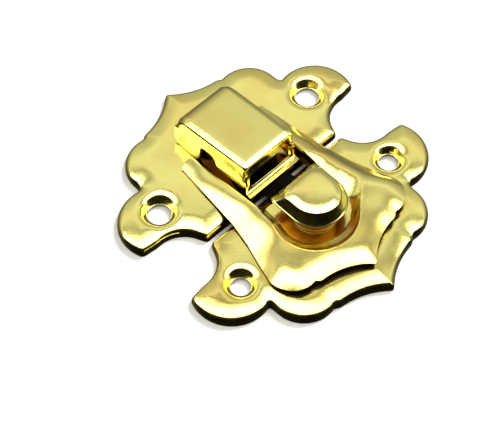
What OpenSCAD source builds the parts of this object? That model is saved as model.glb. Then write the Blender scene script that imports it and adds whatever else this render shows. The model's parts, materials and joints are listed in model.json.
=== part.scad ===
// Decorative pressed-brass box latch in two screw-on halves.
// Frame: +X runs along the latch from the lid half to the base half, +Y is across it,
// +Z points out of the face. The origin is on the back plane, midway along the split.

/* [Rosette plates] */
// Distance from the split to the point at each end
half_length = 23.9; // [23:0.1:25]
// Width of the gap between the two plates
split_gap = 0.8; // [0.4:0.1:1.2]
// Height of the plates' face above the back plane
plate_height = 2; // [1.8:0.1:2.4]
// Thickness of the plates' sheet
plate_sheet = 0.5; // [0.4:0.05:0.6]
// Distance of each screw hole from the split
hole_x = 8.5; // [8:0.1:9]
// Distance of each screw hole from the latch's centre line
hole_y = 15.3; // [15:0.1:16]
// Diameter of the screw holes in the lid plate
lid_hole_d = 3.6; // [3.2:0.1:3.8]
// Diameter of the screw holes in the base plate
base_hole_d = 3; // [2.8:0.1:3.4]
// Diameter of the dish pressed around each screw hole
dish_d = 6.4; // [6:0.1:6.8]

/* [Cover] */
// Height of the cover's crown above the back plane
cover_height = 4.6; // [4.4:0.1:5]
// Thickness of the cover's sheet
cover_sheet = 0.4; // [0.35:0.05:0.45]
// Half width of the channel that the hasp lies in
channel_half_w = 5.8; // [5.7:0.1:6]
// Radius of the recess around the button, at the crown
recess_r = 8; // [7.6:0.1:8.4]
// Radius of the recess around the button, at its floor
recess_floor_r = 5.6; // [5.4:0.1:5.8]

/* [Hasp] */
// Height of the hasp's top at its front edge
hasp_front_z = 9.2; // [9:0.1:9.6]
// Height of the hasp's top at its rear edge
hasp_rear_z = 7.9; // [7.7:0.1:8.1]
// Thickness of the hasp's sheet
hasp_sheet = 0.5; // [0.4:0.05:0.6]
// Half width of the hasp at its top
hasp_top_half_w = 4.75; // [4.5:0.05:4.9]
// Half width of the hasp at the lower edge of its sides
hasp_foot_half_w = 5.4; // [5.1:0.05:5.5]

/* [Hinge] */
// Distance of the hinge pin behind the split
pivot_back = 14.2; // [14:0.1:14.4]
// Height of the hinge pin above the back plane
pivot_z = 3.9; // [3.8:0.1:4]
// Diameter of the hinge pin
pin_d = 1.4; // [1.2:0.1:1.5]
// Radial clearance of the hasp on the pin
pin_clearance = 0.05; // [0.02:0.01:0.08]

/* [Button] */
// Distance of the button's centre from the split when it is drawn back
button_x = 8; // [7.8:0.1:8.2]
// Radius of the button's rounded end at its flared rim
button_r = 4.7; // [4.4:0.1:4.8]
// Height of the button's top above the back plane
button_top_z = 8.6; // [8.2:0.1:8.8]
// Height of the button's rim above the back plane
button_rim_z = 5.9; // [5.6:0.1:6.1]
// How far the button slides towards the hasp to lock it
button_travel = 3; // [2.8:0.1:3.1]
// Diameter of the button's stem
stem_d = 2.4; // [2:0.1:2.6]

/* [Hidden] */
$fn = 64;
eps = 0.01;
brass = [0.80, 0.74, 0.38];
steel = [0.45, 0.44, 0.42];

// Rosette outline: each half is the same, mirrored about the split
rim_w = 0.6;
edge_z = 1.1;             // height at which the plates' edge starts to round over
edge_in = 0.7;            // how far the face lies inside the outline
split_half = split_gap / 2;
bay_y = 18.4;             // centre of the round bay between two ears
bay_r = 4.75;
ear_c = [7.6, 16.2];      // centre of an ear's outer arc
ear_r = 6.1;
shoulder_c = [15, 9.3];   // centre of the lobe between ear and point
shoulder_r = 5.15;
ogee_r = 12;              // hollow curve that runs out to the point

// Rivets that hold the hinge bracket and the strike strip to their plates
rivet_d = 1.2;
rivet_head_d = 2;
rivet_head_t = 0.4;
bracket_rivet = [-11.4, 2];
strike_rivet = [2.75, 1.3];

// Levels of the pieces stacked between the plates and the cover
strip_t = 0.4;
slide_t = 0.4;
slide_z = plate_height + strip_t + 0.05;
floor_z = slide_z + slide_t + 0.1;
floor_top = floor_z + cover_sheet;

// Cover
cover_inset = 3.8;        // how far the cover's edge lies inside the rosette's point
arm_x = -11.3;            // rear end of the cover's arms
arm_half_w = 8.2;
brim_t = 0.6;
crown_in = 1;             // how far the crown lies inside the cover's edge
floor_x = 2.8;            // rear edge of the recess floor
slot_clear = 0.1;
tab_places = [[13, 9.4, 2], [2.4, 8.1, 2]];   // x, y and length of the cover's tabs
tab_foot = 1.2;           // width of the foot that each tab is bent over to

// Hinge bracket
bracket_t = 0.4;
bracket_x = [-12.9, -9.7];
ear_out = 3.9;            // outer face of each ear
ear_t = 0.5;
ear_end_r = 1.15;
pin_half = 5.2;

// Hasp
front_x = -1.3;           // outer face of the hasp's front wall
lip_x = -0.3;             // tip of the flared lip
lip_z = 2.6;
lip_bend_z = 4.1;
window_z = [4, 6.7];
window_half_w = 4;
lobe_r = pivot_z - plate_height - 0.1;
lobe_x = -10.6;           // front edge of the hinge lobes
rear_lip_a = 140;         // angle about the pin at which the rear wall ends
pivot_x = -pivot_back;

// Strike strip
strip_half_w = 2.6;
strip_end_x = 3.7;
lug_x = front_x - hasp_sheet - 0.5;   // face of the lug, behind the hasp's front wall
lug_top_z = plate_height + 3.3;

// Slide
riser_x = button_travel + 0.1;      // when locked, the riser stops short of the hasp's lip
riser_half_w = 1;         // half width of the slide plate's riser and tongue
tongue_tip_x = button_travel - 2;   // when locked, the tip reaches through the window
tongue_z = 4.3;
slide_end_x = button_x + 4.6;
slide_half_w = 4.2;
neck_z = floor_top + 0.35;
washer_r = 3.6;

function arc(c, r, a0, a1, n) =
    [for (i = [0:n]) let (a = a0 + (a1 - a0) * i / n) [c[0] + r * cos(a), c[1] + r * sin(a)]];

function flip_y(points) = [for (i = [len(points) - 1:-1:0]) [points[i][0], -points[i][1]]];

// The hollow curve leaves the shoulder lobe and ends on the centre line, a distance tip_x out
function ogee(tip_x) =
    let (c = [tip_x + ogee_r * cos(44.5), ogee_r * sin(44.5)])
    arc(c, ogee_r, 184, 224.5, 10);

function rosette_side() = concat(
    [[split_half, 13.4]],
    arc([0, bay_y], bay_r, -72, 8, 10),
    arc(ear_c, ear_r, 115, -16, 18),
    arc(shoulder_c, shoulder_r, 96, -14, 14),
    ogee(half_length)
);

module rosette_2d() {
    polygon(concat(rosette_side(), flip_y(rosette_side())));
}

module holes_at() {
    for (side = [-1, 1]) translate([hole_x, side * hole_y, 0]) children();
}

// A pressed rosette half with its edge turned down and a dish around each screw hole
module rosette_plate(hole_d) {
    dish_floor = plate_height - 0.7;
    difference() {
        union() {
            difference() {
                union() {
                    linear_extrude(edge_z) rosette_2d();
                    linear_extrude(plate_height) offset(delta = -edge_in) rosette_2d();
                }
                translate([0, 0, -eps]) linear_extrude(edge_z - plate_sheet + eps)
                    offset(delta = -rim_w) rosette_2d();
                translate([0, 0, -eps]) linear_extrude(plate_height - plate_sheet + eps)
                    offset(delta = -edge_in - rim_w) rosette_2d();
            }
            holes_at() translate([0, 0, dish_floor - plate_sheet])
                cylinder(h = plate_sheet + 0.4, r1 = dish_d / 2 - 0.6, r2 = dish_d / 2);
        }
        holes_at() translate([0, 0, dish_floor])
            cylinder(h = 0.7 + eps, r1 = hole_d / 2 + 0.3, r2 = dish_d / 2 + eps);
        holes_at() translate([0, 0, -eps]) cylinder(h = plate_height + 1, d = hole_d);
    }
}

module rivet_places(place) {
    for (side = [-1, 1]) translate([place[0], side * place[1], 0]) children();
}

// Holes for a pair of rivets through a plate and what it carries
module rivet_holes(place) {
    rivet_places(place) cylinder(h = plate_height + 1, d = rivet_d);
}

// A pair of rivets: heads under the plate and shanks up through a sheet of the given thickness
module rivet_pair(place, sheet_t) {
    rivet_places(place) {
        translate([0, 0, plate_height - plate_sheet - rivet_head_t])
            cylinder(h = rivet_head_t, d = rivet_head_d);
        translate([0, 0, plate_height - plate_sheet - rivet_head_t / 2])
            cylinder(h = plate_sheet + rivet_head_t / 2 + sheet_t, d = rivet_d);
    }
}

module lid_plate() {
    color(brass) difference() {
        mirror([1, 0, 0]) rosette_plate(lid_hole_d);
        rivet_holes(bracket_rivet);
    }
}

module base_plate() {
    color(brass) difference() {
        rosette_plate(base_hole_d);
        rivet_holes(strike_rivet);
        for (tab = tab_places, side = [-1, 1])
            translate([tab[0], side * tab[1], plate_height / 2])
                cube([tab[2] + 0.2, cover_sheet + 0.2, plate_height + 1], center = true);
    }
}

// Hinge: two ears that stand inside the hasp and hold the pin
module hinge_bracket() {
    color(brass) difference() {
        union() {
            translate([bracket_x[0], -ear_out, plate_height])
                cube([bracket_x[1] - bracket_x[0], 2 * ear_out, bracket_t]);
            for (side = [-1, 1]) translate([0, side * (ear_out - ear_t / 2), 0]) rotate([90, 0, 0])
                linear_extrude(ear_t, center = true) {
                    translate([pivot_x, pivot_z]) circle(r = ear_end_r);
                    polygon([
                        [pivot_x - 0.2, pivot_z - 1.1], [pivot_x + 1.3, plate_height],
                        [bracket_x[1], plate_height], [bracket_x[1], plate_height + 0.6],
                        [-11.6, plate_height + 1.5], [pivot_x + 0.7, pivot_z + 0.9]
                    ]);
                }
        }
        translate([pivot_x, 0, pivot_z]) rotate([90, 0, 0])
            cylinder(h = 2 * ear_out + 1, d = pin_d, center = true);
        rivet_holes(bracket_rivet);
    }
}

module bracket_rivets() {
    head_z = plate_height + bracket_t;
    color(brass) {
        rivet_pair(bracket_rivet, bracket_t);
        rivet_places(bracket_rivet) translate([0, 0, head_z])
            cylinder(h = rivet_head_t, d1 = rivet_head_d, d2 = rivet_d);
    }
}

module hinge_pin() {
    color(brass) translate([pivot_x, 0, pivot_z]) rotate([90, 0, 0])
        cylinder(h = 2 * pin_half, d = pin_d, center = true);
}

// Side view of the hasp, x then z, drawn a distance t inside its outer skin
function hasp_profile(t) =
    let (
        slope = (hasp_front_z - hasp_rear_z) / (front_x + 14),
        top_rear = [-13.6, hasp_rear_z + slope * 0.4]
    )
    concat(
        [[lip_x - t * 1.3, lip_z - (t > 0 ? 1 : 0)], [lip_x - t * 1.3, lip_z]],
        [[front_x - t, lip_bend_z], [front_x - t, hasp_front_z - 0.5 - t / 2]],
        [[front_x - 0.5 - t / 2, hasp_front_z - t]],
        [[top_rear[0], top_rear[1] - t]],
        arc([-13.3, 5.1], 2.86 - t, 100, 162, 8),
        arc([pivot_x, pivot_z], lobe_r - t, 170, 270, 8),
        [[lobe_x, plate_height + 0.1 - (t > 0 ? 1 : 0)]]
    );

// Front view of the hasp: its sides lean out towards the foot
module hasp_section(t) {
    foot = plate_height - 1;
    lean = (hasp_foot_half_w - hasp_top_half_w) / (hasp_front_z - plate_height);
    foot_w = hasp_top_half_w + lean * (hasp_front_z - foot) - t;
    head_w = hasp_top_half_w - lean - t;
    rotate([90, 0, 90]) translate([0, 0, -17]) linear_extrude(18)
        polygon([
            [-foot_w, foot], [foot_w, foot],
            [head_w, hasp_front_z + 1], [-head_w, hasp_front_z + 1]
        ]);
}

module side_extrude(half_w) {
    rotate([90, 0, 0]) linear_extrude(2 * half_w, center = true) children();
}

module hasp() {
    color(brass) difference() {
        intersection() {
            side_extrude(6) polygon(hasp_profile(0));
            hasp_section(0);
        }
        intersection() {
            side_extrude(6) polygon(hasp_profile(hasp_sheet));
            hasp_section(hasp_sheet);
        }
        // Window across the front wall
        translate([front_x - 1, -window_half_w, window_z[0]])
            cube([2, 2 * window_half_w, window_z[1] - window_z[0]]);
        // Lower edge of the sides, from the hinge lobe to the claw at the front
        side_extrude(7) polygon([
            [lobe_x, 1], [lobe_x, 5.2], [lobe_x + 0.5, 5.6], [-8.4, 5.8], [-7.3, 5.3],
            [-7.1, 4.3], [-4.8, 4.1], [-3.7, 3.7], [-2.8, 3.1], [front_x - hasp_sheet, 2.6],
            [front_x - hasp_sheet, 1]
        ]);
        // The rear wall stops above the pin, so that the bracket clears it
        side_extrude(hasp_foot_half_w - hasp_sheet - 0.35) polygon([
            [pivot_x + 2, 1], [pivot_x + 2, pivot_z],
            [pivot_x, pivot_z], [pivot_x + 3 * cos(rear_lip_a), pivot_z + 3 * sin(rear_lip_a)],
            [pivot_x - 3, pivot_z], [pivot_x - 3, 1]
        ]);
        translate([pivot_x, 0, pivot_z]) rotate([90, 0, 0])
            cylinder(h = 14, d = pin_d + 2 * pin_clearance, center = true);
    }
}

// Cover: the cover's edge follows the rosette inside its point and flares from two arms
function cover_side() = concat(
    [[arm_x, 0], [arm_x, arm_half_w], [-4.3, 9], [1, 9.6], [5, 10.5], [8.4, 11.6]],
    arc([12.4, 8.9], 3.8, 115, -10, 12),
    ogee(half_length - cover_inset)
);

module cover_edge_2d() {
    polygon(concat(cover_side(), flip_y(cover_side())));
}

module channel_2d() {
    translate([arm_x - 1, -channel_half_w]) square([floor_x - arm_x + 1, 2 * channel_half_w]);
}

// Recess around the button: a dish that opens into the channel, at its size plus grow
module recess(grow) {
    rise = cover_height - floor_top;
    translate([button_x, 0, floor_top]) {
        cylinder(h = rise, r1 = recess_floor_r + grow, r2 = recess_r + grow);
        translate([0, 0, rise - eps]) cylinder(h = 1, r = recess_r + grow);
    }
    translate([floor_x - 1, -channel_half_w - grow, floor_top])
        cube([button_x - floor_x - 3, 2 * (channel_half_w + grow), rise + 1]);
}

// A tab of the cover: it passes down through the base plate and is bent over inwards
module cover_tab(tab, side) {
    foot_z = plate_height - plate_sheet - cover_sheet;
    translate([tab[0] - tab[2] / 2, side * tab[1], 0]) {
        translate([0, -cover_sheet / 2, foot_z])
            cube([tab[2], cover_sheet, cover_height - cover_sheet + 0.1 - foot_z]);
        translate([0, side > 0 ? -tab_foot : 0, foot_z])
            cube([tab[2], tab_foot, cover_sheet - 0.02]);
    }
}

// The stem's slot is open towards the hasp, so that the slide's riser can pass too
module stem_slot(half_w, height) {
    translate([button_x, 0, 0]) cylinder(h = height, r = half_w);
    translate([floor_x - 1, -half_w, 0]) cube([button_x - floor_x + 1, 2 * half_w, height]);
}

module cover() {
    color(brass) {
        difference() {
            union() {
                translate([0, 0, plate_height]) linear_extrude(brim_t) cover_edge_2d();
                translate([0, 0, plate_height + brim_t - eps])
                    linear_extrude(cover_height - plate_height - brim_t + eps)
                        offset(delta = -crown_in) cover_edge_2d();
            }
            // Hollow underneath, between the skirt and the recess wall
            difference() {
                translate([0, 0, plate_height - eps])
                    linear_extrude(cover_height - cover_sheet - plate_height + eps) difference() {
                        offset(delta = -crown_in - cover_sheet) cover_edge_2d();
                        offset(delta = cover_sheet) channel_2d();
                    }
                translate([0, 0, -cover_sheet]) recess(cover_sheet);
            }
            recess(0);
            translate([0, 0, plate_height - 1]) linear_extrude(cover_height) channel_2d();
            translate([0, 0, floor_z - 1]) stem_slot(stem_d / 2 + slot_clear, 3);
            // The gap that the slide runs in under the floor
            translate([floor_x - 1, -slide_half_w - 0.2, plate_height - 1])
                cube([2, 2 * slide_half_w + 0.4, floor_z - plate_height + 1]);
        }
        for (tab = tab_places, side = [-1, 1]) cover_tab(tab, side);
    }
}

// Steel strip of the base half: its upright lug stands inside the closed hasp
module strike_strip() {
    color(steel) difference() {
        translate([lug_x - strip_t, -strip_half_w, plate_height]) {
            cube([strip_end_x - lug_x + strip_t, 2 * strip_half_w, strip_t]);
            cube([strip_t, 2 * strip_half_w, lug_top_z - plate_height]);
        }
        rivet_holes(strike_rivet);
    }
}

module strike_rivets() {
    color(steel) rivet_pair(strike_rivet, strip_t);
}

// Slide: runs under the recess floor and reaches the hasp's window with a raised tongue
module slide_plate() {
    color(steel) difference() {
        union() {
            translate([riser_x, -slide_half_w, slide_z])
                cube([slide_end_x - riser_x, 2 * slide_half_w, slide_t]);
            translate([riser_x, -riser_half_w, slide_z])
                cube([slide_t, 2 * riser_half_w, tongue_z + slide_t - slide_z]);
            translate([tongue_tip_x, -riser_half_w, tongue_z])
                cube([riser_x - tongue_tip_x + eps, 2 * riser_half_w, slide_t]);
        }
        translate([button_x, 0, 0]) cylinder(h = 10, d = stem_d - 0.6);
    }
}

// Bowed leaf under the slide: it rubs on the base plate and holds the slide where it is put
module friction_leaf() {
    leaf_t = 0.15;
    bow = slide_z - plate_height - leaf_t - 0.02;
    span = 7;
    bow_r = (span * span / 4 + bow * bow) / (2 * bow);
    half_a = asin(span / 2 / bow_r);
    centre = [0, slide_z - leaf_t - bow + bow_r];
    color(steel) translate([11.3, 0, 0]) rotate([90, 0, 90]) linear_extrude(1.6, center = true)
        polygon(concat(
            arc(centre, bow_r, 270 - half_a, 270 + half_a, 12),
            arc(centre, bow_r - leaf_t, 270 + half_a, 270 - half_a, 12)
        ));
}

module button_stem() {
    color(brass) translate([button_x, 0, 0]) {
        translate([0, 0, plate_height + 0.1]) cylinder(h = slide_z - plate_height - 0.1, d = stem_d);
        translate([0, 0, slide_z - eps]) cylinder(h = slide_t + eps, d = stem_d - 0.6);
        translate([0, 0, slide_z + slide_t]) cylinder(h = neck_z - slide_z - slide_t, d = stem_d);
        translate([0, 0, neck_z - eps])
            cylinder(h = button_top_z - plate_sheet - neck_z + eps, d = stem_d);
    }
}

module slot_washer() {
    color(brass) translate([button_x, 0, floor_top + 0.05]) difference() {
        cylinder(h = 0.3, r = washer_r);
        translate([0, 0, -1]) cylinder(h = 3, d = stem_d);
    }
}

// Straight towards the hasp and round at the other end
module button_2d(r) {
    circle(r = r);
    translate([-r, -r]) square([r, 2 * r]);
}

module button_layer(z0, z1, r) {
    translate([0, 0, z0]) linear_extrude(z1 - z0) button_2d(r);
}

module button_cap() {
    wall = plate_sheet;
    flare_z = button_rim_z + 0.6;
    dome_z = button_top_z - 0.6;
    color(brass) translate([button_x, 0, 0]) difference() {
        union() {
            button_layer(button_rim_z, flare_z, button_r);
            button_layer(flare_z - eps, dome_z, button_r - 0.3);
            button_layer(dome_z - eps, button_top_z, button_r - 0.8);
        }
        button_layer(button_rim_z - 1, dome_z - 0.1, button_r - 0.3 - wall);
        button_layer(dome_z - 0.2, button_top_z - wall, button_r - 0.8 - wall);
    }
}

lid_plate();
hinge_bracket();
bracket_rivets();
hinge_pin();
hasp();
base_plate();
cover();
strike_strip();
strike_rivets();
slide_plate();
friction_leaf();
button_stem();
slot_washer();
button_cap();
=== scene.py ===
"""Pressed-brass box latch: formed-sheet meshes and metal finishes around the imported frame."""
import json
import math

import bpy
import numpy as np
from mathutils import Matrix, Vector, geometry


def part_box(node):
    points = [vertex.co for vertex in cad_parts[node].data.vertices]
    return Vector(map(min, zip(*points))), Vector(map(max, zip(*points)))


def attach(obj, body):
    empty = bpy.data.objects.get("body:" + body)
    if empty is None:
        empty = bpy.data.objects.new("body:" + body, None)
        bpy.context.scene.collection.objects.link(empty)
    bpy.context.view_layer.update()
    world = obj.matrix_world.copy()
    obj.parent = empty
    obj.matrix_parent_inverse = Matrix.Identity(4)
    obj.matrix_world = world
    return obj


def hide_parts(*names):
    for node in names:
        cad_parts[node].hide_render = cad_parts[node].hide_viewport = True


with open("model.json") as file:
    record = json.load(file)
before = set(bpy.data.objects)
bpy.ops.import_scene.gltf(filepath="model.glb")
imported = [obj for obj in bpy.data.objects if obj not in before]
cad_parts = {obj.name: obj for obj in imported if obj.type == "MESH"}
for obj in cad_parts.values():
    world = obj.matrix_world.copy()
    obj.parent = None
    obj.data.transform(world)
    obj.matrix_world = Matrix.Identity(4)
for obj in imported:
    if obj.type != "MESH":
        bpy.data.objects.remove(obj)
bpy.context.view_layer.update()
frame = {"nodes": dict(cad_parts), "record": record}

MM = 0.001


# ---------------------------------------------------------------- sizes from the frame, in mm

def node_box(name):
    low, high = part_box(name)
    return np.array(low) / MM, np.array(high) / MM


base_low, base_high = node_box("base_plate")
cover_low, cover_high = node_box("cover")
hasp_high = node_box("hasp")[1]
cap_high = node_box("button_cap")[1]
washer_low, washer_high = node_box("slot_washer")

HALF_LENGTH = base_high[0]
SPLIT_HALF = base_low[0]
PLATE_TOP = base_high[2]
PLATE_SHEET = 0.5
COVER_SHEET = 0.4
COVER_TOP = cover_high[2]
FLOOR_TOP = washer_low[2] - 0.05   # a little below the washer's underside
ARM_X = cover_low[0]
CHANNEL = 5.8              # half width of the channel that the hasp lies in
HOLE_X, HOLE_Y = 8.5, 15.3
LID_HOLE_R, BASE_HOLE_R = 1.8, 1.5
BUTTON_X = (washer_low[0] + washer_high[0]) / 2
EDGE_ROUND = 0.06          # rounding of cut sheet edges


# ---------------------------------------------------------------- plane outlines

def arc(centre, radius, start, end, count):
    a = np.radians(np.linspace(start, end, count + 1))
    return np.column_stack([centre[0] + radius * np.cos(a), centre[1] + radius * np.sin(a)])


def ogee(tip_x):
    """Hollow curve that leaves a shoulder lobe and ends in the point on the centre line."""
    radius, lean = 12.0, math.radians(44.5)
    centre = (tip_x + radius * math.cos(lean), radius * math.sin(lean))
    return arc(centre, radius, 184, 224.5, 10)


def closed_by_mirror(side):
    return np.vstack([side, side[::-1][1 if abs(side[-1][1]) < 1e-6 else 0:] * [1, -1]])


def resample(loop, step):
    """Points at equal distances along a closed loop."""
    ring = np.vstack([loop, loop[:1]])
    lengths = np.hypot(*np.diff(ring, axis=0).T)
    along = np.concatenate([[0], np.cumsum(lengths)])
    count = int(round(along[-1] / step))
    at = np.linspace(0, along[-1], count, endpoint=False)
    return np.column_stack([np.interp(at, along, ring[:, k]) for k in (0, 1)])


def soften(loop, step, radius):
    """Rounds a closed loop's corners with a running average, weighted by a bell curve."""
    reach = int(3 * radius / step)
    weights = np.exp(-0.5 * (np.arange(-reach, reach + 1) * step / radius) ** 2)
    weights /= weights.sum()
    out = np.zeros_like(loop)
    for shift, weight in zip(range(-reach, reach + 1), weights):
        out += weight * np.roll(loop, shift, axis=0)
    return out


def loop_distance(points, loop):
    """Distance of each point from a closed loop's line."""
    a, b = loop, np.roll(loop, -1, axis=0)
    along = b - a
    length2 = (along ** 2).sum(1) + 1e-12
    best = np.full(len(points), 1e9)
    for start in range(0, len(points), 2000):
        p = points[start:start + 2000, None, :]
        t = np.clip(((p - a) * along).sum(2) / length2, 0, 1)
        near = a + t[..., None] * along
        best[start:start + 2000] = np.sqrt(((p - near) ** 2).sum(2)).min(1)
    return best


def inside(points, loop):
    a, b = loop, np.roll(loop, -1, axis=0)
    hit = np.zeros(len(points), bool)
    for (x0, y0), (x1, y1) in zip(a, b):
        if y0 == y1:
            continue
        crosses = (points[:, 1] < y0) != (points[:, 1] < y1)
        x = x0 + (points[:, 1] - y0) * (x1 - x0) / (y1 - y0)
        hit ^= crosses & (points[:, 0] < x)
    return hit


def inset_rings(loop, depths):
    """Points along lines that run inside a loop at the given depths."""
    ahead, behind = np.roll(loop, -1, axis=0), np.roll(loop, 1, axis=0)
    tangent = ahead - behind
    tangent /= np.linalg.norm(tangent, axis=1)[:, None] + 1e-12
    area = 0.5 * np.sum(loop[:, 0] * ahead[:, 1] - ahead[:, 0] * loop[:, 1])
    inward = np.column_stack([-tangent[:, 1], tangent[:, 0]]) * np.sign(area)
    kept = []
    for depth in depths:
        ring = loop + inward * depth
        ok = inside(ring, loop) & (loop_distance(ring, loop) > depth * 0.985 - 1e-4)
        kept.append(ring[ok])
    return np.vstack(kept)


def grid_points(loop, step, clear):
    low, high = loop.min(0), loop.max(0)
    xs = np.arange(low[0], high[0], step)
    ys = np.arange(low[1], high[1], step * 0.866)
    points = np.vstack([
        np.column_stack([xs + (step / 2 if k % 2 else 0), np.full(len(xs), y)]) for k, y in enumerate(ys)
    ])
    points = points[inside(points, loop)]
    return points[loop_distance(points, loop) > clear]


def triangulate(loop, holes, points):
    """Triangles that fill a loop less its holes, through every given point."""
    chains = [loop] + list(holes)
    coords, edges = [], []
    for chain in chains:
        first = len(coords)
        coords += [Vector(p) for p in chain]
        edges += [(first + i, first + (i + 1) % len(chain)) for i in range(len(chain))]
    coords += [Vector(p) for p in points]
    verts, _, faces, *_ = geometry.delaunay_2d_cdt(coords, edges, [], 0, 1e-5)
    verts = np.array([tuple(v) for v in verts])
    faces = np.array(faces)
    middle = verts[faces].mean(1)
    keep = inside(middle, loop)
    for hole in holes:
        keep &= ~inside(middle, hole)
    faces = faces[keep]
    a, b, c = (verts[faces[:, k]] for k in range(3))
    turn = (b[:, 0] - a[:, 0]) * (c[:, 1] - a[:, 1]) - (b[:, 1] - a[:, 1]) * (c[:, 0] - a[:, 0])
    faces[turn < 0] = faces[turn < 0][:, ::-1]
    faces = faces[np.abs(turn) > 1e-9]
    used = np.unique(faces)
    renumber = np.full(len(verts), -1)
    renumber[used] = np.arange(len(used))
    return verts[used], renumber[faces]


# ---------------------------------------------------------------- surfaces and shells

class Surface:
    """One skin of sheet metal: points in mm, and faces that turn anticlockwise seen from outside."""

    def __init__(self):
        self.points, self.faces, self.normals = [], [], []

    def add(self, points, faces, normals=None):
        first = len(self.points)
        self.points += [tuple(p) for p in points]
        self.normals += [tuple(n) for n in normals] if normals is not None else [None] * len(points)
        self.faces += [tuple(first + i for i in f) for f in faces]

    def add_grid(self, grid, closed=False, keep=None, flip=False):
        rows, cols = grid.shape[:2]
        faces = []
        for r in range(rows - 1):
            for c in range(cols if closed else cols - 1):
                if keep is not None and not keep[r, c]:
                    continue
                d = (c + 1) % cols
                quad = (r * cols + c, r * cols + d, (r + 1) * cols + d, (r + 1) * cols + c)
                faces.append(quad[::-1] if flip else quad)
        self.add(grid.reshape(-1, 3), faces)

    def weld(self, tolerance=2e-3):
        seen, renumber, points, normals = {}, [], [], []
        for p, normal in zip(self.points, self.normals):
            key = tuple(int(round(v / tolerance)) for v in p)
            near = [seen.get((key[0] + i, key[1] + j, key[2] + k))
                    for i in (0, -1, 1) for j in (0, -1, 1) for k in (0, -1, 1)]
            found = next((n for n in near if n is not None), None)
            if found is None:
                found = len(points)
                seen[key] = found
                points.append(p)
                normals.append(normal)
            renumber.append(found)
        faces = []
        for f in self.faces:
            g = [renumber[i] for i in f]
            g = [v for k, v in enumerate(g) if v != g[k - 1]]
            if len(set(g)) == len(g) and len(g) > 2:
                faces.append(tuple(g))
        used = sorted({i for f in faces for i in f})
        back = {old: new for new, old in enumerate(used)}
        self.points = [points[i] for i in used]
        self.normals = [normals[i] for i in used]
        self.faces = [tuple(back[i] for i in f) for f in faces]


def corner_normals(points, faces):
    """A unit normal at each point, each face weighted by its corner's angle."""
    normals = np.zeros_like(points)
    for size in {len(f) for f in faces}:
        f = np.array([g for g in faces if len(g) == size])
        p = points[f]
        centre_n = np.cross(p[:, 1] - p[:, 0], p[:, 2] - p[:, 0])
        if size == 4:
            centre_n = np.cross(p[:, 2] - p[:, 0], p[:, 3] - p[:, 1])
        centre_n /= np.linalg.norm(centre_n, axis=1)[:, None] + 1e-15
        for k in range(size):
            e0 = p[:, (k + 1) % size] - p[:, k]
            e1 = p[:, k - 1] - p[:, k]
            cosine = (e0 * e1).sum(1) / (np.linalg.norm(e0, axis=1) * np.linalg.norm(e1, axis=1) + 1e-15)
            angle = np.arccos(np.clip(cosine, -1, 1))
            np.add.at(normals, f[:, k], centre_n * angle[:, None])
    return normals / (np.linalg.norm(normals, axis=1)[:, None] + 1e-15)


def shell(name, surface, thickness):
    """Thickens a skin inwards into closed sheet with softly rounded cut edges."""
    surface.weld()
    top = np.array(surface.points)
    faces = surface.faces
    up = corner_normals(top, faces)
    for i, normal in enumerate(surface.normals):
        if normal is not None:
            up[i] = normal
    count = len(top)
    verts = [top, top - up * thickness]
    all_faces, loop_normals = [], []
    for f in faces:
        all_faces.append(f)
        loop_normals += [up[i] for i in f]
    for f in faces:
        g = tuple(count + i for i in f[::-1])
        all_faces.append(g)
        loop_normals += [-up[i - count] for i in g]
    directed = {(f[k], f[(k + 1) % len(f)]) for f in faces for k in range(len(f))}
    border = [(a, b) for a, b in directed if (b, a) not in directed]
    outward = {}
    for a, b in border:
        out = np.cross(top[b] - top[a], up[a] + up[b])
        out /= np.linalg.norm(out) + 1e-15
        for i in (a, b):
            outward[i] = outward.get(i, 0) + out
    extra, index = [], {}
    for i, out in outward.items():
        out = out / (np.linalg.norm(out) + 1e-15)
        outward[i] = out
        index[i] = 2 * count + len(extra)
        extra.append(top[i] + EDGE_ROUND * (out - up[i]))
        extra.append(top[i] + EDGE_ROUND * out - (thickness - EDGE_ROUND) * up[i])
    for a, b in border:
        upper_a, upper_b = index[a], index[b]
        out_a, out_b = outward[a], outward[b]
        for quad, normals in (
            ((a, upper_a, upper_b, b), (up[a], out_a, out_b, up[b])),
            ((upper_a, upper_a + 1, upper_b + 1, upper_b), (out_a, out_a, out_b, out_b)),
            ((upper_a + 1, count + a, count + b, upper_b + 1), (out_a, -up[a], -up[b], out_b)),
        ):
            all_faces.append(quad)
            loop_normals += list(normals)
    verts = np.vstack(verts + ([np.array(extra)] if extra else []))
    mesh = bpy.data.meshes.new(name)
    mesh.from_pydata((verts * MM).tolist(), [], [tuple(int(i) for i in f) for f in all_faces])
    mesh.polygons.foreach_set("use_smooth", [True] * len(mesh.polygons))
    mesh.normals_split_custom_set([tuple(n) for n in loop_normals])
    # The face takes the finish with painted corner shade, and the back faces take the finish whose orange
    # is painted glow.
    mesh.materials.append(FACE)
    mesh.materials.append(UNDERSIDE)
    inner = [0] * len(all_faces)
    inner[len(faces):2 * len(faces)] = [1] * len(faces)
    mesh.polygons.foreach_set("material_index", inner)
    mesh.update()
    piece = bpy.data.objects.new(name, mesh)
    bpy.context.scene.collection.objects.link(piece)
    return piece


def smooth(value, low, high):
    t = np.clip((value - low) / (high - low), 0, 1)
    return t * t * (3 - 2 * t)


def hand_wave(x, y, phase):
    """The slight unevenness of thin pressed sheet, in mm."""
    return 0.035 * (
        np.sin(0.55 * x + 0.3 * y + phase) * np.sin(0.2 * x - 0.5 * y + 1.7 * phase)
        + 0.25 * np.sin(1.1 * x - 0.7 * y + 2.3 * phase)
    )


def gradient_normals(height, points, step=0.05):
    """Normals of the surface z = height(points), by central differences."""
    slopes = [(height(points + shift) - height(points - shift)) / (2 * step)
              for shift in (np.array([step, 0]), np.array([0, step]))]
    normals = np.column_stack([-slopes[0], -slopes[1], np.ones(len(points))])
    return normals / np.linalg.norm(normals, axis=1)[:, None]


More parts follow.
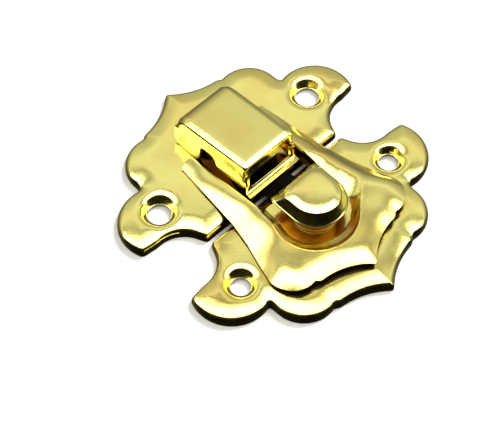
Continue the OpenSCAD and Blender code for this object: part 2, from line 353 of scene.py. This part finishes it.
def signed_depth(points, loop):
    """Distance inside a closed loop, negative outside it."""
    return loop_distance(points, loop) * np.where(inside(points, loop), 1, -1)


# ---------------------------------------------------------------- rosette plates

STEP = 0.2                 # spacing of points along a cut outline
FALL_WIDTH, FALL = 2.9, 0.62      # the face falls gently towards its edge
TURN_WIDTH, TURN = 0.95, 0.95       # and then turns down tightly
# Slope of a screw dish against the distance beyond the hole's edge, in mm
DISH_SLOPES = [(0, 1.25), (0.8, 1.12), (0.98, 0.5), (1.3, 0.3), (1.9, 0)]


def rosette_loop():
    side = np.vstack([
        [[SPLIT_HALF, 13.4]],
        arc((0, 18.4), 4.75, -72, 8, 10),
        arc((7.6, 16.2), 6.1, 115, -16, 18),
        arc((15, 9.3), 5.15, 96, -14, 14),
        ogee(HALF_LENGTH),
    ])
    loop = closed_by_mirror(side)[::-1]
    return soften(resample(loop, STEP), STEP, 0.3)


def shoulder_drop(depth):
    """How far the pressed face lies below its middle at a depth inside the outline."""
    fall = np.clip(1 - depth / FALL_WIDTH, 0, 1.2)
    turn = np.clip(1 - depth / TURN_WIDTH, 0, 0.995)
    return FALL * fall ** 1.6 + TURN * (1 - np.sqrt(1 - turn ** 2.2))


def dish_drop(radius, hole_r):
    """Depth of the dish around a screw hole: a steep throat and a soft lip."""
    reach, slope = np.array(DISH_SLOPES).T
    steps = np.linspace(0, reach[-1], 60)
    slopes = np.interp(steps, reach, slope)
    depth = np.concatenate([[0], np.cumsum((slopes[1:] + slopes[:-1]) / 2 * np.diff(steps))])
    return np.interp(radius - hole_r, steps, depth[-1] - depth)


def circle(centre, radius, count):
    return arc(centre, radius, 0, 360, count)[:-1]


def plate_height_field(loop, hole_r, phase):
    def height(points):
        depth = signed_depth(points, loop)
        top = PLATE_TOP - 0.03 - shoulder_drop(depth)
        for side in (-1, 1):
            top -= dish_drop(np.hypot(points[:, 0] - HOLE_X, points[:, 1] - side * HOLE_Y), hole_r)
        return top + hand_wave(*points.T, phase) * smooth(depth, 0.5, 3)
    return height


def rosette_plate(name, node, mirror, hole_r, slots, phase):
    """A rosette half as the base half lies; the lid half is its mirror image."""
    loop = rosette_loop()
    centres = [(HOLE_X, HOLE_Y), (HOLE_X, -HOLE_Y)]
    dish_r = hole_r + DISH_SLOPES[-1][0]
    holes = [circle(c, hole_r, 48) for c in centres] + slots
    ring_radii = np.linspace(hole_r + 0.15, dish_r + 0.1, 13)
    rings = np.vstack([circle(c, r, 56) for c in centres for r in ring_radii])
    # Rings of points follow the edge, closest together where the face turns down
    turn = TURN_WIDTH * (1 - np.cos(np.radians([20, 34, 47, 60, 75, 90])))
    edge = inset_rings(loop, np.concatenate([turn, TURN_WIDTH + np.array([0.2, 0.5, 0.85])]))
    field = grid_points(loop, 0.42, TURN_WIDTH + 1.1)
    for c in centres:
        field = field[np.hypot(*(field - c).T) > dish_r + 0.35]
        edge = edge[np.hypot(*(edge - c).T) > dish_r + 0.25]
    rings = rings[loop_distance(rings, loop) > 0.3]
    flat, faces = triangulate(loop, holes, np.vstack([edge, field, rings]))
    surface_height = plate_height_field(loop, hole_r, phase)
    points = np.column_stack([flat, surface_height(flat)])
    normals = gradient_normals(surface_height, flat)
    on_edge = loop_distance(flat, loop) < 1e-3
    normals[on_edge] = gradient_normals(lambda q: 6 * signed_depth(q, loop), flat[on_edge], 0.15)
    skin = Surface()
    skin.add(points, faces, normals)
    foot = np.column_stack([loop, np.full(len(loop), EDGE_ROUND)])
    head = np.column_stack([loop, surface_height(loop)])
    skin.add_grid(np.stack([foot, foot * 0.5 + head * 0.5, head]), closed=True)
    if mirror:
        skin.points = [(-x, y, z) for x, y, z in skin.points]
        skin.normals = [n and (-n[0], n[1], n[2]) for n in skin.normals]
        skin.faces = [f[::-1] for f in skin.faces]
    piece = shell(name, skin, PLATE_SHEET)
    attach(piece, "root")
    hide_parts(node)


TABS = [(13.0, 9.4, 2.0), (2.4, 8.1, 2.0)]   # x, y and length of the cover's clinched tabs
TAB_HEAD = 3.0             # height of a tab's top end, under the cover
TAB_BEND = 0.45            # radius of a tab's bend under the base plate


def tab_slots():
    """The holes in the base plate that the tabs pass through."""
    corners = np.array([(-1, -1), (1, -1), (1, 1), (-1, 1)])
    slots = []
    for x, y, length in TABS:
        half = np.array([length / 2 + 0.1, COVER_SHEET / 2 + 0.1])
        slots += [np.array([x, side * y]) + corners * half for side in (-1, 1)]
    return slots


# ---------------------------------------------------------------- cover

COVER_EDGE_IN = 3.8        # the cover's point lies this far inside the rosette's
FLOOR_X = 2.8              # rear edge of the recess floor
FLOOR_R = 5.3
SLOT_HALF = 1.3            # half width of the stem's slot
COVER_STEP = 0.2           # spacing of points along the cover's outline
RISE_WIDTH = 4.0           # how far inside its edge the cover reaches its crown
CROWN_REAR, CROWN_FRONT = 2.95, 4.25   # crown height at the cover's rear end and at its point
EDGE_LIFT = 0.85           # the cover's front edge stands this far off the plate
CHANNEL_ROLL = 0.3         # radius of the roll along the channel


def cover_side():
    return np.vstack([
        [[ARM_X, CHANNEL], [ARM_X - 0.3, 7.0], [ARM_X, 8.2], [-4.3, 9.0], [1, 9.6], [5, 10.5], [8.4, 11.6]],
        arc((12.4, 8.9), 3.8, 115, -10, 12),
        ogee(HALF_LENGTH - COVER_EDGE_IN),
    ])


def cover_loops():
    """The cover's cut outline, and the outline that its edge would have without the channel."""
    side = cover_side()
    outer = np.vstack([side, side[::-1][1:] * [1, -1]])
    inner = np.vstack([
        [[FLOOR_X, -CHANNEL], [FLOOR_X, -SLOT_HALF]],
        arc((BUTTON_X, 0), SLOT_HALF, -90, 90, 12),
        [[FLOOR_X, SLOT_HALF], [FLOOR_X, CHANNEL]],
    ])
    whole = np.vstack([outer, inner])[::-1]
    rim = np.vstack([outer[2:-2], [[ARM_X - 8, -7.4], [ARM_X - 8, 7.4]]])
    return [soften(resample(loop, COVER_STEP), COVER_STEP, 0.14) for loop in (whole, rim)]


def keyhole_distance(p):
    """Distance outside the recess floor: a disc round the button that opens into the channel."""
    x, y = p[:, 0], np.abs(p[:, 1])
    disc = np.hypot(x - BUTTON_X, y) - FLOOR_R
    lane = np.where(x < BUTTON_X, y - (CHANNEL - 0.8) + 2.2 * (1 - smooth(x, -0.5, 3.5)), 1e3)
    return np.minimum(disc, lane)


def raster(low, high, step, value):
    """Samples value(points) on a grid, blurs it a little, and returns it as a smooth function."""
    xs = np.arange(low[0], high[0] + step, step)
    ys = np.arange(low[1], high[1] + step, step)
    grid = value(np.array([(x, y) for y in ys for x in xs])).reshape(len(ys), len(xs))
    reach = int(round(2.1 / step))
    bell = np.exp(-0.5 * (np.arange(-reach, reach + 1) * step / 0.75) ** 2)
    bell /= bell.sum()
    padded = np.pad(grid, reach, mode="edge")
    rows = sum(w * padded[:, k:k + len(xs)] for k, w in enumerate(bell))
    grid = sum(w * rows[k:k + len(ys)] for k, w in enumerate(bell))

    def sample(points):
        u = np.clip((points[:, 0] - xs[0]) / step, 0, len(xs) - 1.001)
        v = np.clip((points[:, 1] - ys[0]) / step, 0, len(ys) - 1.001)
        i, j = u.astype(int), v.astype(int)
        u, v = u - i, v - j
        near = grid[j, i] * (1 - u) + grid[j, i + 1] * u
        far = grid[j + 1, i] * (1 - u) + grid[j + 1, i + 1] * u
        return near * (1 - v) + far * v
    return sample


def cover_field(rim):
    """Height of the cover's skin as a function of place."""
    def rise(points):
        depth = signed_depth(points, rim)
        x = points[:, 0]
        t = np.clip(depth / (RISE_WIDTH - 1.4 * smooth(-x, -5, 4) - 1.9 * smooth(x, 8, 14)), -1, 1)
        return np.where(t > 0, np.sin(t * math.pi / 2), t * math.pi / 2)

    smooth_rise = raster([ARM_X - 3, -14], [HALF_LENGTH, 14], 0.16, rise)

    def height(points):
        x, y = points.T
        edge = PLATE_TOP + COVER_SHEET + 0.08 + EDGE_LIFT * smooth(x, 9, 15)
        crown = CROWN_REAR + (COVER_TOP - CROWN_REAR) * smooth(x, ARM_X - 1, 4.5)
        crown -= (COVER_TOP - CROWN_FRONT) * smooth(x, 9, 16)
        top = edge + (crown - edge) * smooth_rise(points)
        # The wall is steep round the front of the button, and a broad slope beside the far arm
        width = 1.3 + 0.9 * smooth(x - y, 8, 20) + 2.4 * smooth(y, 1, 6) * (1 - smooth(x, 8.5, 12.5))
        climb = np.clip(keyhole_distance(points) / width, 0, 1)
        climb = np.clip(1.06 * climb - 0.03, 0, 1) * 0.75 + smooth(climb, 0, 1) * 0.25
        floor = FLOOR_TOP - 0.02
        top = floor + (top - floor) * climb
        inner = np.where(x < FLOOR_X, np.abs(y) - CHANNEL, 9)   # distance out from the channel
        t = np.clip(1 - inner / CHANNEL_ROLL, 0, 0.99)
        room = np.clip(top - edge, 0.0, CHANNEL_ROLL)
        top = top - room * (1 - np.sqrt(1 - t ** 2))
        return top + 1.6 * hand_wave(x, y, 4.1)
    return height


def channel_wall(skin, loop, height, side):
    """The short wall along one side of the channel, rolled down beside the hasp."""
    along_channel = (loop[:, 0] < FLOOR_X - 0.3) & (loop[:, 0] > ARM_X + 0.3)
    line = loop[(np.abs(loop[:, 1] - side * CHANNEL) < 0.02) & along_channel]
    line = line[np.argsort(line[:, 0])]
    head = np.column_stack([line, height(line)])
    foot = np.column_stack([line, np.full(len(line), PLATE_TOP + 0.06)])
    skin.add_grid(np.stack([foot, (foot + head) / 2, head]), flip=side > 0)


def build_cover():
    loop, rim = cover_loops()
    edge = inset_rings(loop, [0.07, 0.16, 0.28, 0.42])
    field = grid_points(loop, 0.3, 0.68)
    flat, faces = triangulate(loop, [], np.vstack([edge, field]))
    height = cover_field(rim)
    skin = Surface()
    skin.add(np.column_stack([flat, height(flat)]), faces, gradient_normals(height, flat, 0.12))
    for side in (-1, 1):
        channel_wall(skin, loop, height, side)
    for x, y, length in TABS:
        for side in (-1, 1):
            add_tab(skin, x, side * y, side, length)
    piece = shell("cover_sheet", skin, COVER_SHEET)
    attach(piece, "root")
    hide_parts("cover")


def add_tab(skin, x, y, side, length):
    """The outer skin of a tab that passes down through the base plate and is bent inwards."""
    under = PLATE_TOP - PLATE_SHEET - COVER_SHEET - 0.03
    centre = (y - side * 0.25, under + 0.45)
    bend = arc(centre, TAB_BEND, 0, -90, 6) if side > 0 else arc(centre, TAB_BEND, 180, 270, 6)
    path = np.vstack([[[bend[0][0], TAB_HEAD]], bend, [[y - side * 1.2, bend[-1][1]]]])
    rows = np.stack([
        np.column_stack([np.full(len(path), x + end * length / 2), path]) for end in (-1, 1)
    ], axis=1)
    skin.add_grid(rows, flip=side < 0)


# ---------------------------------------------------------------- hasp

PIVOT = (-14.2, 3.9)       # places in the hasp's side view are x, then z
PIN_HOLE_R = 0.72
FRONT_X = -1.3             # outer face of the front wall
STRIP_FOOT = 6.7           # top of the window
LIP_BEND = 3.7             # the lip turns out here, through a knee to its tip
LIP_KNEE, LIP_TIP = (-1.0, 3.2), (-0.08, 3.1)
REAR_ROLL = (-13.3, 5.1)   # centre of the rolled rear edge, and its radius
REAR_ROLL_R = 2.86
REAR_FOOT = [(-16.0, 4.8), (-16.0, 5.3)]   # rear edge between the hinge lobe and the roll
TOP_RUN, TOP_RISE = 12.7, 1.3              # slope of the top, up towards the front
# Lower edge of a side, from the front corner down the claw and back over the arch to the hinge lobe
CLAW = [(-1.5, 6.35), (-1.2, 5.7), (-1.05, 5.0), (-0.98, 4.2), (-0.98, 3.4), (-1.08, 2.75), (-1.2, 2.5)]
ARCH = [
    (-2.0, 2.78), (-2.8, 3.15), (-3.7, 3.7), (-4.8, 4.05), (-6.0, 4.2), (-7.0, 4.4), (-7.15, 4.8),
    (-7.35, 5.25), (-7.8, 5.6), (-8.6, 5.78), (-9.6, 5.72), (-10.3, 5.5), (-10.58, 5.1),
    (-10.6, 4.0), (-10.6, 2.6), (-10.75, 2.25), (-11.1, 2.12),
]
HASP_SHEET = 0.5
HASP_TOP = hasp_high[2]
HASP_HALF = 4.75           # half width of the top
HASP_FOOT_HALF = hasp_high[1]
WINDOW = 0.873             # share of the front wall's half width that the window takes
BEVEL_WIDTH = 1.0
# Section of the bevel round the hasp's top, from its outer end: share of its width, and drop in mm
BEVEL = [
    (1, 0.98), (0.99, 0.79), (0.955, 0.61), (0.9, 0.48), (0.82, 0.385), (0.76, 0.345), (0.2, 0.06),
    (0.12, 0.027), (0.05, 0.005),
]


def half_width(z):
    """Half width of the hasp at a height: its sides lean out towards the foot."""
    lean = (HASP_FOOT_HALF - HASP_HALF) / (HASP_TOP - PLATE_TOP)
    return HASP_HALF + lean * (HASP_TOP - z)


def hasp_profile():
    """Outer side profile from the rear roll over the top and down the front, with how far each
    point lies along the front bevel, and the counts of rows in the rear roll and above the window."""
    slope = math.atan2(TOP_RISE, TOP_RUN)
    top_front = np.array([FRONT_X, HASP_TOP])
    along = np.array([math.cos(slope), math.sin(slope)])
    rear = np.vstack([[REAR_FOOT[1], [-16.01, 5.65]], arc(REAR_ROLL, REAR_ROLL_R, 162, 101, 12)])
    start = rear[-1]
    corner = top_front - along * BEVEL_WIDTH
    count = 22
    top = np.array([start + (corner - start) * k / count for k in range(1, count + 1)])
    bend = np.array([corner + along * BEVEL_WIDTH * share - [0, drop] for share, drop in BEVEL[::-1]])
    strip = np.column_stack([np.full(4, FRONT_X), np.linspace(bend[-1][1], STRIP_FOOT, 5)[1:]])
    posts = np.column_stack([np.full(4, FRONT_X), np.linspace(STRIP_FOOT, LIP_BEND + 0.3, 5)[1:]])
    turn = np.linspace(0, 1, 7)[1:]
    a, b, c = np.array([FRONT_X, LIP_BEND + 0.3]), np.array([FRONT_X, LIP_BEND]), np.array(LIP_KNEE)
    knee = np.array([(1 - t) ** 2 * a + 2 * t * (1 - t) * b + t * t * c for t in turn])
    lip = np.array([c + (np.array(LIP_TIP) - c) * k / 4 for k in range(1, 5)])
    profile = np.vstack([rear, top, bend, strip, posts, knee, lip])
    ahead = np.concatenate([
        np.zeros(len(rear) + len(top)),
        [share for share, _ in BEVEL[::-1]],
        np.ones(len(strip) + len(posts) + len(knee) + len(lip)),
    ])
    return profile, ahead, len(rear), len(rear) + len(top) + len(bend) + len(strip)


def profile_normals(profile):
    tangent = np.gradient(profile, axis=0)
    tangent /= np.linalg.norm(tangent, axis=1)[:, None]
    return np.column_stack([-tangent[:, 1], tangent[:, 0]])


def mitre(ahead, aside):
    """Pulls a place in the square where two bevels cross in towards a rounded corner."""
    return max(ahead, aside, 1e-9) / ((ahead ** 5 + aside ** 5) ** 0.2 + 1e-9)


def bevel_point(x, z, ahead, share, drop):
    """Place on the hasp's top or front, x then y then z, for shares of the front and side bevels."""
    pull = mitre(ahead, share)
    if ahead == 0:
        z -= drop
    elif ahead < 1:
        shares, drops = np.array([(0, 0), *BEVEL[::-1]]).T
        front_drop = np.interp(ahead, shares, drops)
        z -= max(drop - front_drop, 0)
    x -= BEVEL_WIDTH * ahead * (1 - pull)
    return x, half_width(z) - BEVEL_WIDTH * (1 - share * pull), z


def hasp_rows(profile, ahead, rear_rows, strip_rows, shares):
    """Rows of points across the hasp, side to side: bevel, flat top or front, bevel."""
    rows = []
    for k, ((x, z), (nx, nz)) in enumerate(zip(profile, profile_normals(profile))):
        flat = half_width(z) - BEVEL_WIDTH
        if k < rear_rows:
            near = [(x - nx * drop, flat + BEVEL_WIDTH * share, z - nz * drop) for share, drop in BEVEL]
        elif k < strip_rows:
            near = [bevel_point(x, z, ahead[k], share, drop) for share, drop in BEVEL]
        else:
            flat = half_width(STRIP_FOOT) - 0.35
            flat += 0.55 * smooth(np.array([LIP_BEND + 0.4 - z]), 0, 1.6)[0]
            near = [(x, flat, z)] * len(BEVEL)
        row = [(px, -py, pz) for px, py, pz in near]
        row += [(x, share * flat, z) for share in shares]
        rows.append(row + near[::-1])
    return np.array(rows)


def add_hasp_side(skin, bound, side):
    """One side of the hasp, from its edge with the top down to the claw, the arch and the hinge lobe."""
    lobe = arc(PIVOT, PIVOT[1] - PLATE_TOP - 0.1, 270, 172, 14)
    outline = np.vstack([bound[:, [0, 2]], CLAW, ARCH, lobe, REAR_FOOT])
    field = grid_points(outline, 0.45, 0.25)
    field = field[np.hypot(*(field - PIVOT).T) > PIN_HOLE_R + 0.23]
    flat, faces = triangulate(outline, [circle(PIVOT, PIN_HOLE_R, 28)], field)
    along = np.clip((flat[:, 0] - FRONT_X) / BEVEL_WIDTH + 1, 0, 1)
    curl = np.array([1 - mitre(share, 1) for share in along])
    points = np.column_stack([
        flat[:, 0], side * (half_width(flat[:, 1]) - BEVEL_WIDTH * curl), flat[:, 1],
    ])
    bound_index = [np.argmin(np.hypot(*(flat - b[[0, 2]]).T)) for b in bound]
    points[bound_index] = bound
    skin.add(points, faces if side < 0 else faces[:, ::-1])


def build_hasp():
    profile, ahead, rear_rows, strip_rows = hasp_profile()
    shares = np.concatenate([[-1], np.linspace(-WINDOW, WINDOW, 13), [1]])
    grid = hasp_rows(profile, ahead, rear_rows, strip_rows, shares)
    # Below the strip only the posts beside the window go on, and below the window the whole lip
    keep = np.ones(grid.shape[:2], bool)
    first, last = len(BEVEL), len(BEVEL) + len(shares) - 1
    keep[strip_rows - 1:, :first] = False
    keep[strip_rows - 1:, last:] = False
    lip_row = next(k for k, p in enumerate(profile) if k >= strip_rows and p[1] < LIP_BEND - 0.05)
    keep[strip_rows - 1:lip_row, first + 1:last - 1] = False
    skin = Surface()
    skin.add_grid(grid, keep=keep, flip=True)
    for side, column in ((-1, 0), (1, -1)):
        add_hasp_side(skin, grid[:strip_rows, column], side)
    piece = shell("hasp_sheet", skin, HASP_SHEET)
    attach(piece, "hasp")
    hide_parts("hasp")


# ---------------------------------------------------------------- button

BUTTON_SHEET = 0.38
BUTTON_R = cap_high[1]
# Radius, drop below the top and corner radius of each ring, from the middle to the rim's foot
BUTTON_RINGS = [
    (0.02, 0, 0.01), (1.2, 0.02, 0.6), (2.1, 0.075, 1.0), (2.6, 0.13, 1.3), (2.76, 0.17, 1.4),
    (2.86, 0.22, 1.5), (3.45, 0.48, 1.75), (3.58, 0.56, 1.8), (3.68, 0.68, 1.8), (3.76, 0.84, 1.75),
    (3.96, 1.28, 1.6), (4.16, 1.72, 1.3), (4.34, 2.12, 1.0), (4.42, 2.28, 0.9), (4.5, 2.38, 0.8),
    (BUTTON_R - 0.04, 2.44, 0.7), (BUTTON_R - EDGE_ROUND, 2.5, 0.7),
]


def button_outline(radius, corner, count=96):
    """Straight towards the hasp with two rounded corners, round at the other end."""
    front = arc((0, 0), radius, -90, 90, 40)
    inner = radius - corner
    upper = arc((-inner, inner), corner, 90, 180, 10)
    lower = arc((-inner, -inner), corner, 180, 270, 10)
    loop = resample(np.vstack([front, upper, lower]), 0.01)
    at = (np.arange(count) * len(loop) / count).astype(int)
    return loop[at]


def build_button():
    rows = []
    for radius, drop, corner in BUTTON_RINGS:
        loop = button_outline(radius, corner)
        height = np.full(len(loop), cap_high[2] - drop)
        rows.append(np.column_stack([loop[:, 0] + BUTTON_X, loop[:, 1], height]))
    skin = Surface()
    skin.add_grid(np.stack(rows), closed=True, flip=True)
    skin.faces.append(tuple(range(len(rows[0]))))
    piece = shell("button_shell", skin, BUTTON_SHEET)
    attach(piece, "button")
    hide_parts("button_cap")


# ---------------------------------------------------------------- materials

def noise(nodes, links, place, scale, detail):
    texture = nodes.new("ShaderNodeTexNoise")
    texture.inputs["Scale"].default_value = scale
    texture.inputs["Detail"].default_value = detail
    links.new(place.outputs["Object"], texture.inputs["Vector"])
    return texture.outputs["Fac"]


def remap(nodes, links, value, low, high, to_low=0.0, to_high=1.0):
    node = nodes.new("ShaderNodeMapRange")
    for socket, number in (("From Min", low), ("From Max", high), ("To Min", to_low), ("To Max", to_high)):
        node.inputs[socket].default_value = number
    links.new(value, node.inputs["Value"])
    return node.outputs["Result"]


def blend(nodes, links, factor, a, b):
    node = nodes.new("ShaderNodeMix")
    node.data_type = "RGBA"
    links.new(factor, node.inputs["Factor"])
    for socket, colour in (("A", a), ("B", b)):
        if isinstance(colour, tuple):
            node.inputs[socket].default_value = (*colour, 1)
        else:
            links.new(colour, node.inputs[socket])
    return node.outputs["Result"]


def metal(name, plain, warm, painted_shade, roughness, grain, reach=0.0026):
    """Metal with warm clouds in its colour, painted shade in its corners, and a fine grain."""
    material = bpy.data.materials.new(name)
    material.use_nodes = True
    nodes, links = material.node_tree.nodes, material.node_tree.links
    shader = nodes["Principled BSDF"]
    shader.inputs["Metallic"].default_value = 1.0
    place = nodes.new("ShaderNodeTexCoord")
    cloud = noise(nodes, links, place, 140, 3)
    blotch = noise(nodes, links, place, 520, 4)
    speck = noise(nodes, links, place, 4200, 2)
    colour = blend(nodes, links, remap(nodes, links, cloud, 0.42, 0.7), plain, warm)
    # Painted shade: the base colour turns to the given dark shade colour where ambient occlusion finds
    # other surfaces close by, in corners, recesses and gaps.
    corner = nodes.new("ShaderNodeAmbientOcclusion")
    corner.inputs["Distance"].default_value = reach
    corner.samples = 8
    open_share = remap(nodes, links, corner.outputs["AO"], 0.3, 0.66)
    links.new(blend(nodes, links, open_share, painted_shade, colour), shader.inputs["Base Color"])
    rough = remap(nodes, links, blotch, 0.3, 0.7, roughness - 0.02, roughness + 0.05)
    links.new(rough, shader.inputs["Roughness"])
    bump = nodes.new("ShaderNodeBump")
    bump.inputs["Strength"].default_value = grain
    bump.inputs["Distance"].default_value = 0.00002
    links.new(speck, bump.inputs["Height"])
    links.new(bump.outputs["Normal"], shader.inputs["Normal"])
    return material


# Plated face: the dark last colour is painted shade, put into corners, recesses and the gaps between parts.
FACE = metal(
    "plated_face", plain=(0.90, 0.82, 0.25), warm=(0.88, 0.70, 0.19), painted_shade=(0.085, 0.034, 0.006),
    roughness=0.13, grain=0.5, reach=0.0045,
)
# Inner parts: the same brass painted darker than the face, as painted shade for parts that sit under the
# hasp and the button; the dark last colour is painted shade in their corners.
INNER = metal(
    "plated_inner", plain=(0.60, 0.46, 0.13), warm=(0.52, 0.35, 0.09), painted_shade=(0.04, 0.02, 0.006),
    roughness=0.3, grain=0.4,
)
# Back faces of the sheets: the deep orange is painted glow, standing in for light bounced between the
# sheets under the cover's edges; the dark last colour is painted shade in corners.
UNDERSIDE = metal(
    "underside", plain=(0.95, 0.52, 0.09), warm=(0.80, 0.38, 0.05), painted_shade=(0.10, 0.04, 0.008),
    roughness=0.35, grain=0.4,
)
# Spring parts: nearly black, far darker than steel, as painted shade for the dark gap under the hasp where
# they sit.
STEEL = metal(
    "spring_steel", plain=(0.006, 0.0055, 0.005), warm=(0.005, 0.004, 0.0035), painted_shade=(0.003, 0.002, 0.002),
    roughness=0.55, grain=0.4,
)


def paint(piece, material):
    piece.data.materials.clear()
    piece.data.materials.append(material)


# ---------------------------------------------------------------- stage, light and camera

VIEW_AZIMUTH, VIEW_ELEVATION = 45.7, 57.3   # degrees
VIEW_DISTANCE = 0.220      # metres, as is the point that the camera looks at
AIM = Vector((0.0011, -0.00625, 0.0))
LENS, SENSOR = 108.7, 36
FLOOR_HALF = 1.5


def view_direction():
    a, e = math.radians(VIEW_AZIMUTH), math.radians(VIEW_ELEVATION)
    return Vector((math.sin(a) * math.cos(e), -math.cos(a) * math.cos(e), math.sin(e)))


def add_camera():
    data = bpy.data.cameras.new("camera")
    data.sensor_width = SENSOR
    data.lens = LENS
    data.clip_start = 0.01
    camera = bpy.data.objects.new("camera", data)
    bpy.context.scene.collection.objects.link(camera)
    camera.location = AIM + view_direction() * VIEW_DISTANCE
    camera.rotation_euler = (AIM - camera.location).to_track_quat("-Z", "Y").to_euler()
    bpy.context.scene.camera = camera


def add_floor():
    mesh = bpy.data.meshes.new("floor")
    corners = [(x * FLOOR_HALF, y * FLOOR_HALF, 0) for x, y in ((-1, -1), (1, -1), (1, 1), (-1, 1))]
    mesh.from_pydata(corners, [], [(0, 1, 2, 3)])
    floor = bpy.data.objects.new("floor", mesh)
    bpy.context.scene.collection.objects.link(floor)
    material = bpy.data.materials.new("floor_paper")
    material.use_nodes = True
    shader = material.node_tree.nodes["Principled BSDF"]
    shader.inputs["Base Color"].default_value = (0.93, 0.93, 0.93, 1)
    shader.inputs["Roughness"].default_value = 0.8
    mesh.materials.append(material)
    floor.visible_glossy = False


def add_light(name, direction, distance, size, power):
    data = bpy.data.lights.new(name, "AREA")
    data.shape = "DISK"
    data.size = size
    data.energy = power
    lamp = bpy.data.objects.new(name, data)
    bpy.context.scene.collection.objects.link(lamp)
    lamp.location = Vector(direction).normalized() * distance
    lamp.rotation_euler = (-lamp.location).to_track_quat("-Z", "Y").to_euler()
    lamp.visible_glossy = False


PEAK = 4.2                 # brightness of the softbox overhead
FLOOR_SHARE = 0.27         # share of the world's light that diffuse rays, such as the floor's, get
# Degrees up from the viewer's horizon, over the top and down to the far one, with the brightness
WORLD_STOPS = [
    (-180, 0.25), (-120, 0.08), (-60, 0.01), (0, 0.004), (36, 0.006), (50, 0.03), (57, 1.2), (63, PEAK),
    (100, PEAK), (105, 1.8), (110, 0.45), (115, 0.38), (121, 0.86), (127, 1.02), (134, 0.78), (142, 0.62),
    (156, 0.50), (170, 0.40), (180, 0.25),
]


def add_world():
    """A dim room behind the viewer, a bright ceiling and a pale far wall."""
    world = bpy.data.worlds.new("studio")
    bpy.context.scene.world = world
    world.use_nodes = True
    nodes, links = world.node_tree.nodes, world.node_tree.links
    back = nodes["Background"]
    place = nodes.new("ShaderNodeTexCoord")
    split = nodes.new("ShaderNodeSeparateXYZ")
    links.new(place.outputs["Generated"], split.inputs["Vector"])
    dot = nodes.new("ShaderNodeVectorMath")
    dot.operation = "DOT_PRODUCT"
    a = math.radians(VIEW_AZIMUTH)
    dot.inputs[1].default_value = (math.sin(a), -math.cos(a), 0)
    links.new(place.outputs["Generated"], dot.inputs[0])
    angle = nodes.new("ShaderNodeMath")
    angle.operation = "ARCTAN2"
    links.new(split.outputs["Z"], angle.inputs[0])
    links.new(dot.outputs["Value"], angle.inputs[1])
    share = nodes.new("ShaderNodeMapRange")
    share.inputs["From Min"].default_value = -math.pi
    share.inputs["From Max"].default_value = math.pi
    links.new(angle.outputs["Value"], share.inputs["Value"])
    ramp = nodes.new("ShaderNodeValToRGB")
    for degrees, _ in WORLD_STOPS[1:-1]:
        ramp.color_ramp.elements.new((degrees + 180) / 360)
    for element, (_, level) in zip(ramp.color_ramp.elements, WORLD_STOPS):
        element.color = (level / PEAK, level / PEAK, level / PEAK, 1)
    links.new(share.outputs["Result"], ramp.inputs["Fac"])
    links.new(ramp.outputs["Color"], back.inputs["Color"])
    # The floor takes most of its light from the lamp, so that the object's shadow shows
    path = nodes.new("ShaderNodeLightPath")
    strength = nodes.new("ShaderNodeMapRange")
    strength.inputs["To Min"].default_value = PEAK
    strength.inputs["To Max"].default_value = PEAK * FLOOR_SHARE
    links.new(path.outputs["Is Diffuse Ray"], strength.inputs["Value"])
    links.new(strength.outputs["Result"], back.inputs["Strength"])


add_camera()
rosette_plate("lid_plate_sheet", "lid_plate", True, LID_HOLE_R, [], 0.7)
rosette_plate("base_plate_sheet", "base_plate", False, BASE_HOLE_R, tab_slots(), 2.9)
build_cover()
build_hasp()
build_button()

# The frame's own parts take painted shade: the spring parts the near-black steel, the rest the darker inner
# brass.
slots = {s["node"]: s["material_slot"] for s in frame["record"]["subparts"]}
for node, piece in frame["nodes"].items():
    if slots.get(node) == "spring_steel":
        paint(piece, STEEL)
    else:
        paint(piece, INNER)

add_floor()
add_world()
add_light("overhead", direction=(-0.1, 1.1, 1), distance=0.6, size=0.2, power=3.8)
bpy.context.scene.view_settings.view_transform = "Standard"
